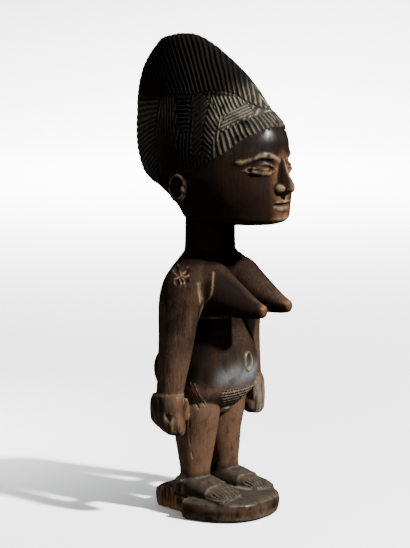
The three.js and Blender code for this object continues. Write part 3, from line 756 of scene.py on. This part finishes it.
from_chip = seen_right_front - CHIP
chip, pit = np.zeros(len(points)), np.zeros(len(points))
for path in SHREDS:
    chip = np.maximum(chip, right_side * hump((to_path(from_chip, path), 0.4)))
for across, up, reach in PITS:
    pit = np.maximum(pit, right_side * hump((from_chip[:, 0] - across, reach), (from_chip[:, 1] - up, reach)))
chip *= ramp(lumps(points, 1.2, 45), -0.7, 0.2)
ragged = ramp(lumps(points, 3.5, 44), -0.8, 0.1)
gouge = right_side * hump((to_path(seen_right_front, GOUGE), 0.5)) * ragged
crack = right_side * hump((to_path(seen_right_front, CRACK), 0.4)) * ragged
split = ramp(-x, 17, 19) * (out < 31) * hump((to_path(seen_right_front, SPLIT), 0.5))
splinter = hump((x - SPLINTER[0], 4), (forward - SPLINTER[1], 4), (z - SPLINTER[2], 6.5))
relief += 0.3 * chip - 1.3 * pit - 0.4 * gouge - 0.3 * crack - 0.5 * split
streaks = ramp(lumps(points, (1.5, 1.5, 14), 41), -0.05, 0.15)
relief += splinter * (0.7 * streaks - 1.1)
pale_line = np.zeros(len(points))
for reach, path in PALE_LINES:
    pale_line = np.maximum(pale_line, ramp(-x, 2, 5) * hump((to_path(seen_right_front, path), reach)))
pale_line *= ragged
cuff_line = hump((cuff, 0.5)) * (out > 30) * ragged
relief += 0.2 * pale_line

turn = Matrix.Rotation(-STRIP_TURN, 2)
local = (points[:, :2] - STRIP_CORNER) @ np.array(turn).T
near_break = np.minimum(np.abs(local[:, 0]), np.abs(local[:, 1]))
broken = (1 - ramp(near_break, 0.4, 1.2)) * (local[:, 0] < 1) * (local[:, 1] > -1) * (z < BASE_TOP + 0.5)
relief -= broken * (0.25 + 0.5 * lumps(points, (1.2, 1.2, 7), 13))

fresh_break = 0.45 * chip + 0.6 * gouge + 0.7 * crack + 0.5 * split
fresh_break += 0.5 * pale_line + 0.2 * cuff_line + splinter * streaks
fresh_break += 0.9 * broken * ramp(lumps(points, (1, 1, 6), 43), -0.5, 0.4)
# The hand's holes, the chip's pits, the splinters' gaps and the slots between the toes are kept dark as
# painted shade.
dark_hole = hole * outside * on_hand + 1.2 * pit * (1 - 0.8 * chip)
dark_hole += splinter * (1 - streaks) + toes * toe_slots
relief += 0.12 * lumps(points, 9, 21) * (1 - hair)
ROOM = 0.02
lowest, highest = (np.array(corner) / MM for corner in cad_box)
write_points(figure, np.clip(points + facing * relief[:, None], lowest + ROOM, highest - ROOM))

# Where the wood is worn, dusty or bare, and where shade and light are painted
# Edges are worn pale, hollows keep dust and grime and are darkened further as painted shade, and
# hands have rubbed the thighs and the face red-brown. Painted shade darkens the sides of the head
# and belly, the neck under the jaw and the breasts' undersides. A painted sheen lies on the lower
# belly, and painted light on the front of the rim, the right hip and the lower hair at the back.
# These marks are kept on the skin's points for the wood below.
points = read_points(figure)
faces = figure.data
ends = np.empty(2 * len(faces.edges), int)
faces.edges.foreach_get("vertices", ends)
one_end, other_end = ends.reshape(-1, 2).T
neighbours = np.bincount(one_end, minlength=len(points)) + np.bincount(other_end, minlength=len(points))


def relaxed(values, rounds):
    """Values that are evened out over the skin."""
    for _ in range(rounds):
        total = np.bincount(one_end, values[other_end], len(values))
        total += np.bincount(other_end, values[one_end], len(values))
        values = total / neighbours
    return values


def bulge(rounds):
    """How far the skin stands out from its own evened-out form, in millimetres."""
    even = np.column_stack([relaxed(axis, rounds) for axis in points.T])
    return np.sum((points - even) * read_normals(figure), axis=1)


small_bulge, broad_bulge = bulge(6), bulge(40)
bare_skin = (1 - hair) * (1 - np.minimum(fresh_break, 1))
edge_worn = ramp(small_bulge, 0.05, 0.16) * bare_skin + 0.7 * ramp(broad_bulge, 0.5, 1.2) * bare_skin
edge_worn *= 1 - (z > SHOULDER - 6) * (z < JAW)
edge_worn *= 1 - (0.5 + 0.25 * toes) * (z < ANKLE)
edge_worn *= 1 - (z > WAIST) * (z < SHOULDER) * (forward > 25)
low_down = 1 - ramp(z, ANKLE, ANKLE + 4)
# Painted shade with grime: hollows, and the holes, pits, toe slots and splinter gaps, are darkened where
# shade falls in them.
hollow = ramp(-small_bulge, 0.04, 0.2) + 0.6 * ramp(-broad_bulge, 0.3, 1.2) * (1 - low_down)
hollow = dark_hole + hollow * (1 - hair) * (1 - 0.6 * in_triangle)
on_top = ramp(read_normals(figure)[:, 2], 0.1, 0.8)
hair_dust_and_reflection = ramp(forward + 0.37 * (z - CREST_FOOT), 5, 21) * (1 - 0.5 * brow_field)
hair_dust_and_reflection *= ramp(forward - 1.3 * np.maximum(z - CREST_FOOT, 0) + 18 * (z < CREST_FOOT), 8, 36)
hair_dust_and_reflection *= ramp(lumps(points, 4, 47), -1.1, 0.1)
# Painted reflection: the ridges of the lower hair at the back are made paler, for dust and for faint
# reflected light.
hair_dust_and_reflection += 0.45 * (1 - ramp(forward, -38, -6)) * (1 - ramp(z, CREST_FOOT - 8, CREST_FOOT))
ridge_dust_and_reflection = ramp(hair_height, 0.45, 1) * (0.03 + 0.85 * hair_dust_and_reflection)
braid_dust_and_reflection = hair * (0.25 * hair_dust_and_reflection * (1 - 0.5 * in_crest) + ridge_dust_and_reflection)
foot_dust = (1 - ramp(z, ANKLE - 3, ANKLE + 2)) * ramp(z, 8.5, 10.5) * (0.08 + 0.14 * on_top)
foot_dust += 0.9 * low_down * ramp(-broad_bulge, 0.25, 0.9) * (z > 8)
foot_dust += 0.7 * rough_heel * ramp(lumps(points, (2, 2, 4), 55), -0.2, 0.4)
body_dust_and_light = 0.8 * on_hand * (x > 0) * ramp(lumps(points, (1.5, 1.5, 9), 46), -0.5, 0.4)
body_dust_and_light += 0.3 * cuff_line + 0.4 * navel_glow + 0.75 * in_triangle
# Painted light: pale dusty scratches on the right hip, also made pale to stand in for light where the belly
# shades the hip.
hip_dust_and_light = (x < 0) * hump((out - 21, 5.5), (forward - 9, 8), (z - GROIN + 0.5, 5.5))
body_dust_and_light += 0.75 * hip_dust_and_light * ramp(lumps(points, (1.2, 1.2, 8), 57), -0.5, 0.2)
rubbed_legs = ramp(z, ANKLE - 2, ANKLE + 3) * (1 - ramp(z, GROIN + 3, GROIN + 13)) * (out < 28)
tips = ramp(forward, NIPPLE_FORWARD - 3.5, NIPPLE_FORWARD) * (z < SHOULDER) * (z > WAIST)
rubbed_face = on_front * (1 - ramp(z, BROW_LEVEL + 2, BROW_LEVEL + 9))
rubbed_wrist = (out > 26) * ramp(forward, 1, 6) * (1 - ramp(z, NAVEL, WAIST))
rubbed_hand = on_hand * ramp(forward, -1, 4) + 0.5 * rubbed_wrist


def surface_mark(name, values):
    layer = figure.data.attributes.new(name, "FLOAT", "POINT")
    layer.data.foreach_set("value", np.clip(values, 0, 1).astype(np.float32))


# Painted shade: the sides of the head that face outward, the neck under the jaw, the breasts where they face
# down or outward, and the belly, most of all at its sides, are darkened where shade falls. The same dark mark
# also gives the upper head, the chest and the feet a darker tone, blotches of grime on the hands, and a
# darker upper part of the right hand.
outward = facing[:, 0] * np.sign(x)
beside_head = 0.88 * ramp(z, BROW_LEVEL - 3, BROW_LEVEL + 6) + ramp(outward, 0, 0.5)
beside_head *= (z > JAW - 3) * (1 - hair)
on_neck = ramp(z, SHOULDER - 4, SHOULDER) * (1 - ramp(z, JAW, JAW + 2))
on_chest = ramp(z, BREAST_UNDER + 6, SHOULDER - 10) * (1 - ramp(z, SHOULDER, SHOULDER + 4))
breast_side = np.maximum(ramp(-facing[:, 2], -0.6, 0.1), ramp(outward, 0, 0.6) * ramp(forward, 14, 28))
breast_dark = (z > WAIST) * (z < SHOULDER - 3) * ramp(forward, 10, 18) * breast_side
beside_belly = ramp(z, GROIN + 2, GROIN + 12) * (z < BREAST_UNDER + 6) * (out < 29)
beside_belly *= 0.55 + 0.45 * (1 - ramp(forward, 8, 25))
on_feet = 0.72 * (1 - ramp(z, ANKLE - 2, ANKLE + 2)) + 0.5 * toes
on_feet += 0.6 * on_ground * ramp(lumps(points, 10, 53), 0, 0.5)
on_hands = 0.7 * on_hand * ramp(lumps(points, (6, 6, 9), 48), -0.3, 0.5)
on_hands += 0.4 * on_hand * (x < 0) * ramp(z, 58, 65)
grime_and_shade = beside_head + on_neck + 0.65 * on_chest + breast_dark * (1 - tips)
grime_and_shade += beside_belly + on_feet + on_hands
# Painted reflection: a pale blue-grey sheen painted on the lower belly in place of the floor's reflection.
painted_sheen_on_belly = hump((z - NAVEL + 9 - 0.3 * (forward - 20), 5)) * (z > GROIN + 2) * ramp(forward, 15, 25)
on_rim = 1 - ramp(z, 8, 10)
# The lowest band of the rim is made paler towards the bottom.
low_rim = 1 - ramp(z, 2, 6)
edge_worn += 0.8 * on_rim * ramp(lumps(points, (1.1, 1.1, 3), 56), 0.5, 0.75) + 0.45 * low_rim
# Painted shade is lessened below the jaw on surfaces that face backwards.
grime_and_shade *= 1 - 0.6 * ramp(facing[:, 1], 0.3, 0.8) * (z < JAW)
grime_and_shade += 0.5 * on_rim * ramp(lumps(points, (7, 7, 5), 59), -0.1, 0.5)
# Paler dust colour towards the bottom of the rim, and a painted highlight: grey dust colour on the front-left
# of the rim.
rim_dust_and_highlight = 0.2 * low_rim
rim_dust_and_highlight += 0.45 * on_rim * ramp(seen_across, 22, 36) * ramp(lumps(points, 5, 58), -0.3, 0.4)
surface_mark("grime_and_shade", grime_and_shade)
surface_mark("painted_sheen", painted_sheen_on_belly)
surface_mark("hair", hair)
surface_mark("worn", edge_worn)
surface_mark("hollow", hollow)
surface_mark("dust_and_painted_light", braid_dust_and_reflection + foot_dust + body_dust_and_light + rim_dust_and_highlight)
surface_mark("bare", fresh_break)
rubbed_all = 0.75 * rubbed_legs + tips + 0.7 * rubbed_face + 0.6 * rubbed_hand
surface_mark("rubbed", rubbed_all + 0.4 * on_rim + 0.5 * low_rim)
smooth_belly = hump((z - NAVEL + 8, 10), (forward - BELLY_FORWARD + 3, 9))
smooth_brow = on_front * (1 - hair) * hump((z - HAIRLINE + 8, 7))
smooth_rim = (1 - ramp(z, 9, 11)) * ramp(forward, 10, 25)
polished = smooth_belly + 0.7 * smooth_brow + smooth_rim + 0.1 * tips
surface_mark("smooth", polished + 0.6 * rubbed_legs + 0.5 * on_hand)
surface_mark("warm", 0.8 * rubbed_face + tips + 0.9 * on_rim + 0.2 * on_hand + splinter)
detail = np.minimum(fresh_break + dark_hole + in_triangle + toes + 4 * np.abs(small_bulge) * (hair < 1), 1)
detail = relaxed(detail * (detail > 0.2), 3) > 0.1
fine = (hair > 0) | (on_front > 0) | detail
surface_mark("fine", fine)

# The skin's triangles
# The skin is thinned, most where it is plain and least on the hair, the face and other carving,
# so that the whole piece stays under 200,000 triangles.
FINE_TRIANGLES, ALL_TRIANGLES = 150000, 196000


def thin(name, points_picked, triangles):
    """Thins one region of the skin until the whole skin has this many triangles."""
    group = figure.vertex_groups.new(name=name)
    group.add(np.nonzero(points_picked)[0].tolist(), 1.0, "REPLACE")
    ratio = triangles / len(figure.data.polygons)
    apply_modifier(figure, "DECIMATE", ratio=ratio, vertex_group=name, vertex_group_factor=1)


apply_modifier(figure, "TRIANGULATE")
ends = np.empty(3 * len(figure.data.polygons), int)
figure.data.loops.foreach_get("vertex_index", ends)
fine_faces = int(np.count_nonzero(fine[ends.reshape(-1, 3)].all(axis=1)))
thin("plain", ~fine, fine_faces + ALL_TRIANGLES - FINE_TRIANGLES)
fine_left = np.empty(len(figure.data.vertices), np.float32)
figure.data.attributes["fine"].data.foreach_get("value", fine_left)
thin("dressed", fine_left > 0.5, ALL_TRIANGLES)
only(figure)
bpy.ops.object.shade_smooth()

# The wood
# Dark, close-grained wood, near black in the hair and red-brown where hands have rubbed it, with
# grey dust in the carving and pale wood in the breaks. Painted shade darkens the marked sides and
# hollows, a painted blue-grey sheen lies on the lower belly, and the dust colours also carry painted
# light.
HAIR_BLACK = (0.0016, 0.0015, 0.0012)
DARK_WOOD = (0.0085, 0.0052, 0.0037)
BROWN_WOOD = (0.031, 0.0172, 0.0105)
RUBBED_WOOD = (0.067, 0.0355, 0.02)
WARM_WOOD = (0.1, 0.042, 0.0155)
WORN_EDGE = (0.12, 0.08, 0.048)
BARE_WOOD = (0.2, 0.12, 0.06)
ORANGE_WOOD = (0.17, 0.078, 0.028)
GREY_DUST_AND_PAINTED_LIGHT = (0.085, 0.075, 0.056)
PALE_DUST_AND_REFLECTION = (0.108, 0.097, 0.072)
BLUE_PAINTED_SHEEN = (0.1, 0.1, 0.097)
GRIME_AND_SHADE = (0.004, 0.0024, 0.0017)
PORE_AND_SHADE_BLACK = (0.004, 0.003, 0.0025)


class Value:
    """A number that varies over a surface. Sums and products of values add their Math nodes."""

    def __init__(self, shader, socket):
        self.shader, self.socket = shader, socket

    def joined(self, operation, first, second):
        return self.shader.node("Math", {0: first, 1: second}, operation=operation)

    def __add__(self, other):
        return self.joined("ADD", self, other)

    def __radd__(self, other):
        return self.joined("ADD", other, self)

    def __sub__(self, other):
        return self.joined("SUBTRACT", self, other)

    def __rsub__(self, other):
        return self.joined("SUBTRACT", other, self)

    def __mul__(self, other):
        return self.joined("MULTIPLY", self, other)

    def __rmul__(self, other):
        return self.joined("MULTIPLY", other, self)


class Shader:
    """The nodes of one material."""

    def __init__(self, name):
        self.material = bpy.data.materials.new(name)
        self.material.use_nodes = True
        self.tree = self.material.node_tree
        self.surface = self.tree.nodes["Principled BSDF"]

    def feed(self, socket, value):
        if isinstance(value, Value):
            self.tree.links.new(value.socket, socket)
        else:
            is_colour = isinstance(value, tuple) and socket.type == "RGBA"
            socket.default_value = (*value, 1) if is_colour else value

    def node(self, kind, inputs, output=0, **settings):
        """Adds a node: its settings first, then the values or links of its sockets."""
        made = self.tree.nodes.new("ShaderNode" + kind)
        for name, value in settings.items():
            setattr(made, name, value)
        for key, value in inputs.items():
            self.feed(made.inputs[key], value)
        return Value(self, made.outputs[output])

    def mix(self, share, first, second):
        return self.node("Mix", {0: share, 6: first, 7: second}, 2, data_type="RGBA")

    def between(self, value, low, high):
        """0 below low, 1 above high, and smooth between them."""
        limits = {"Value": value, "From Min": low, "From Max": high}
        return self.node("MapRange", limits, interpolation_type="SMOOTHSTEP")

    def noise(self, stretch, detail=3.0, roughness=0.55):
        """Noise with this many lumps to the metre along X, Y and Z."""
        place = self.node("TexCoord", {}, "Object")
        scaled = self.node("VectorMath", {0: place, 1: stretch}, operation="MULTIPLY")
        inputs = {"Vector": scaled, "Scale": 1.0, "Detail": detail, "Roughness": roughness}
        return self.node("TexNoise", inputs)

    def mark(self, name):
        return self.node("Attribute", {}, "Fac", attribute_name=name)


wood = Shader("aged_wood")
patches = wood.noise((70, 70, 45), 4)
blotches = wood.noise((260, 260, 170), 4)
fibres = wood.noise((900, 900, 60), 5)
pores = wood.between(wood.noise((2300, 2300, 260), 2), 0.6, 0.72)
specks = wood.between(wood.noise((1500, 1500, 1100), 3), 0.55, 0.7)
crumbs = wood.noise((2600, 2600, 2600), 3)
scratches = wood.between(wood.noise((1700, 1700, 90), 4), 0.6, 0.68)

is_hair, is_worn, is_hollow = wood.mark("hair"), wood.mark("worn"), wood.mark("hollow")
has_dust_and_painted_light, is_bare, is_rubbed = wood.mark("dust_and_painted_light"), wood.mark("bare"), wood.mark("rubbed")
is_smooth, is_grime_and_shade, is_warm = wood.mark("smooth"), wood.mark("grime_and_shade"), wood.mark("warm")

colour = wood.mix(wood.between(patches + 0.35 * fibres, 0.45, 0.85), DARK_WOOD, BROWN_WOOD)
rubbed = is_rubbed * wood.between(blotches + 0.4 * fibres, 0.25, 0.78)
colour = wood.mix(rubbed, colour, RUBBED_WOOD)
light_fibres = wood.between(fibres, 0.56, 0.7) * wood.between(patches, 0.4, 0.6)
colour = wood.mix(0.5 * light_fibres, colour, RUBBED_WOOD)
colour = wood.mix(0.7 * is_warm * wood.between(blotches + 0.5 * fibres, 0.5, 0.95), colour, WARM_WOOD)
# Grime and painted shade: near black where that mark is high.
colour = wood.mix(0.95 * is_grime_and_shade, colour, GRIME_AND_SHADE)
colour = wood.mix(0.22 * scratches * (1 - is_hair) * (1 - is_grime_and_shade), colour, WORN_EDGE)
dark_fibres = wood.between(fibres, 0.42, 0.3) * (1 - is_hair) * (1 - 0.6 * is_rubbed)
colour = wood.mix(0.45 * dark_fibres, colour, GRIME_AND_SHADE)
# Painted reflection: the blue-grey sheen on the lower belly.
painted_sheen = wood.mark("painted_sheen") * wood.between(patches + 0.15 * fibres, 0.25, 0.6)
colour = wood.mix(painted_sheen, colour, BLUE_PAINTED_SHEEN)
colour = wood.mix(0.94 * is_hair, colour, HAIR_BLACK)
colour = wood.mix(0.8 * is_worn * wood.between(blotches + 0.3 * crumbs, 0.45, 0.8), colour, WORN_EDGE)
# Painted shade with grime: hollows are darkened to near black.
colour = wood.mix(0.75 * is_hollow * wood.between(crumbs, 0.3, 0.6), colour, PORE_AND_SHADE_BLACK)
colour = wood.mix(0.14 * specks * (1 - is_hair) * (1 - is_rubbed) * (1 - is_grime_and_shade), colour, GREY_DUST_AND_PAINTED_LIGHT)
# Dust colour, which also carries painted light: a highlight on the front of the rim, light on the right hip
# and reflected light on the lower hair at the back.
dust_and_light_share = has_dust_and_painted_light * wood.between(blotches + 0.5 * crumbs, 0.3, 0.85)
colour = wood.mix(0.9 * dust_and_light_share, colour, wood.mix(is_hair, GREY_DUST_AND_PAINTED_LIGHT, PALE_DUST_AND_REFLECTION))
bare = is_bare * wood.between(fibres + 0.4 * crumbs, 0.35, 0.85)
colour = wood.mix(bare, colour, wood.mix(is_warm, BARE_WOOD, ORANGE_WOOD))
colour = wood.mix(0.7 * pores, colour, PORE_AND_SHADE_BLACK)

roughness = 0.5 + 0.2 * blotches + 0.15 * is_hair + 0.25 * dust_and_light_share + 0.25 * bare
relief_height = 0.7 * fibres + 0.3 * blotches - 0.4 * scratches - 0.5 * pores
relief_height = relief_height + 0.15 * crumbs + 0.5 * crumbs * (dust_and_light_share + bare)
grain = wood.node("Bump", {"Strength": 0.6, "Distance": 0.00035, "Height": relief_height})
wood.feed(wood.surface.inputs["Base Color"], colour)
wood.feed(wood.surface.inputs["Roughness"], roughness)
wood.feed(wood.surface.inputs["Normal"], grain)
polish = 0.4 * is_smooth * wood.between(blotches, 0.25, 0.6) * (1 - is_hair)
wood.feed(wood.surface.inputs["Coat Weight"], polish)
wood.surface.inputs["Coat Roughness"].default_value = 0.32
wood.surface.inputs["Specular IOR Level"].default_value = 0.014
figure.data.materials.clear()
figure.data.materials.append(wood.material)

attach(figure, "root")
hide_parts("figure")

# The studio
# A pale round floor that curves up into a wall. One small key light stands in front of the figure,
# with dim lights overhead and at its right. Three more light the floor, the shadow and the wall.
FLOOR_RADIUS, WALL_CURVE, WALL_HEIGHT = 2.4, 0.9, 2.6
bpy.ops.object.select_all(action="DESELECT")
bpy.ops.mesh.primitive_circle_add(vertices=96, radius=FLOOR_RADIUS, fill_type="TRIFAN")
floor = bpy.context.object
floor.name = "floor"
bpy.ops.object.mode_set(mode="EDIT")
bpy.ops.mesh.select_mode(type="EDGE")
bpy.ops.mesh.region_to_loop()
CURVE_STEPS = 10
for step in range(1, CURVE_STEPS + 2):
    angle = min(step, CURVE_STEPS) / CURVE_STEPS * math.pi / 2
    before = (step - 1) / CURVE_STEPS * math.pi / 2
    radius = FLOOR_RADIUS + WALL_CURVE * math.sin(angle)
    radius_before = FLOOR_RADIUS + WALL_CURVE * math.sin(min(before, math.pi / 2))
    climb = WALL_CURVE * (math.cos(before) - math.cos(angle)) if step <= CURVE_STEPS else WALL_HEIGHT
    bpy.ops.mesh.extrude_edges_move(TRANSFORM_OT_translate={"value": (0, 0, climb)})
    grow = radius / radius_before
    bpy.ops.transform.resize(value=(grow, grow, 1), center_override=(0, 0, 0))
bpy.ops.object.mode_set(mode="OBJECT")
bpy.ops.object.shade_smooth()
paper = bpy.data.materials.new("paper")
paper.use_nodes = True
paper.node_tree.nodes["Principled BSDF"].inputs["Base Color"].default_value = (0.93, 0.93, 0.93, 1)
paper.node_tree.nodes["Principled BSDF"].inputs["Roughness"].default_value = 1
paper.node_tree.nodes["Principled BSDF"].inputs["Specular IOR Level"].default_value = 0
floor.data.materials.append(paper)
floor.visible_diffuse = False
floor.visible_glossy = False

world = bpy.data.worlds.new("surround")
bpy.context.scene.world = world
world.use_nodes = True
world.node_tree.nodes["Background"].inputs["Color"].default_value = (0.9, 0.95, 1, 1)
world.node_tree.nodes["Background"].inputs["Strength"].default_value = 0.12

AIM = Vector((-0.00165, 0.00227, 0.1335))


def soft_light(name, azimuth, elevation, distance, size, power, target=AIM, spread=180):
    """A square lamp that faces its target. Azimuth 0 is in front of the figure."""
    turn_round, climb_up = math.radians(azimuth), math.radians(elevation)
    level = math.cos(climb_up)
    way = Vector((math.sin(turn_round) * level, -math.cos(turn_round) * level, math.sin(climb_up)))
    data = bpy.data.lights.new(name, "AREA")
    data.size = size
    data.energy = power
    data.spread = math.radians(spread)
    lamp = bpy.data.objects.new(name, data)
    bpy.context.scene.collection.objects.link(lamp)
    lamp.location = target + way * distance
    lamp.rotation_euler = way.to_track_quat("Z", "Y").to_euler()
    return lamp


soft_light("key", 2, 39.5, 1.8, 0.11, 190)
soft_light("overhead", 126, 80, 1.6, 1.2, 5)
soft_light("bounce", -95, 5, 1.2, 0.7, 7)
soft_light("low_fill", -40, 4, 1.2, 0.5, 1.6)
soft_light("floor_lamp", 126, 88, 1.3, 0.8, 80, Vector((1.5, 1.1, 0)), 105)
soft_light("shadow_lamp", 180, 89, 0.55, 0.2, 0.65, Vector((0, 0.3, 0)), 48)
soft_light("wall_lamp", 54, 35, 1.5, 0.4, 110, Vector((2.2, 1.6, 0.5)), 85)

eye_data = bpy.data.cameras.new("camera")
eye_data.lens = 137.36
camera = bpy.data.objects.new("camera", eye_data)
bpy.context.scene.collection.objects.link(camera)
camera.location = (-0.9304, -0.6760, 0.3015)
camera.rotation_euler = (AIM - camera.location).to_track_quat("-Z", "Y").to_euler()
bpy.context.scene.camera = camera
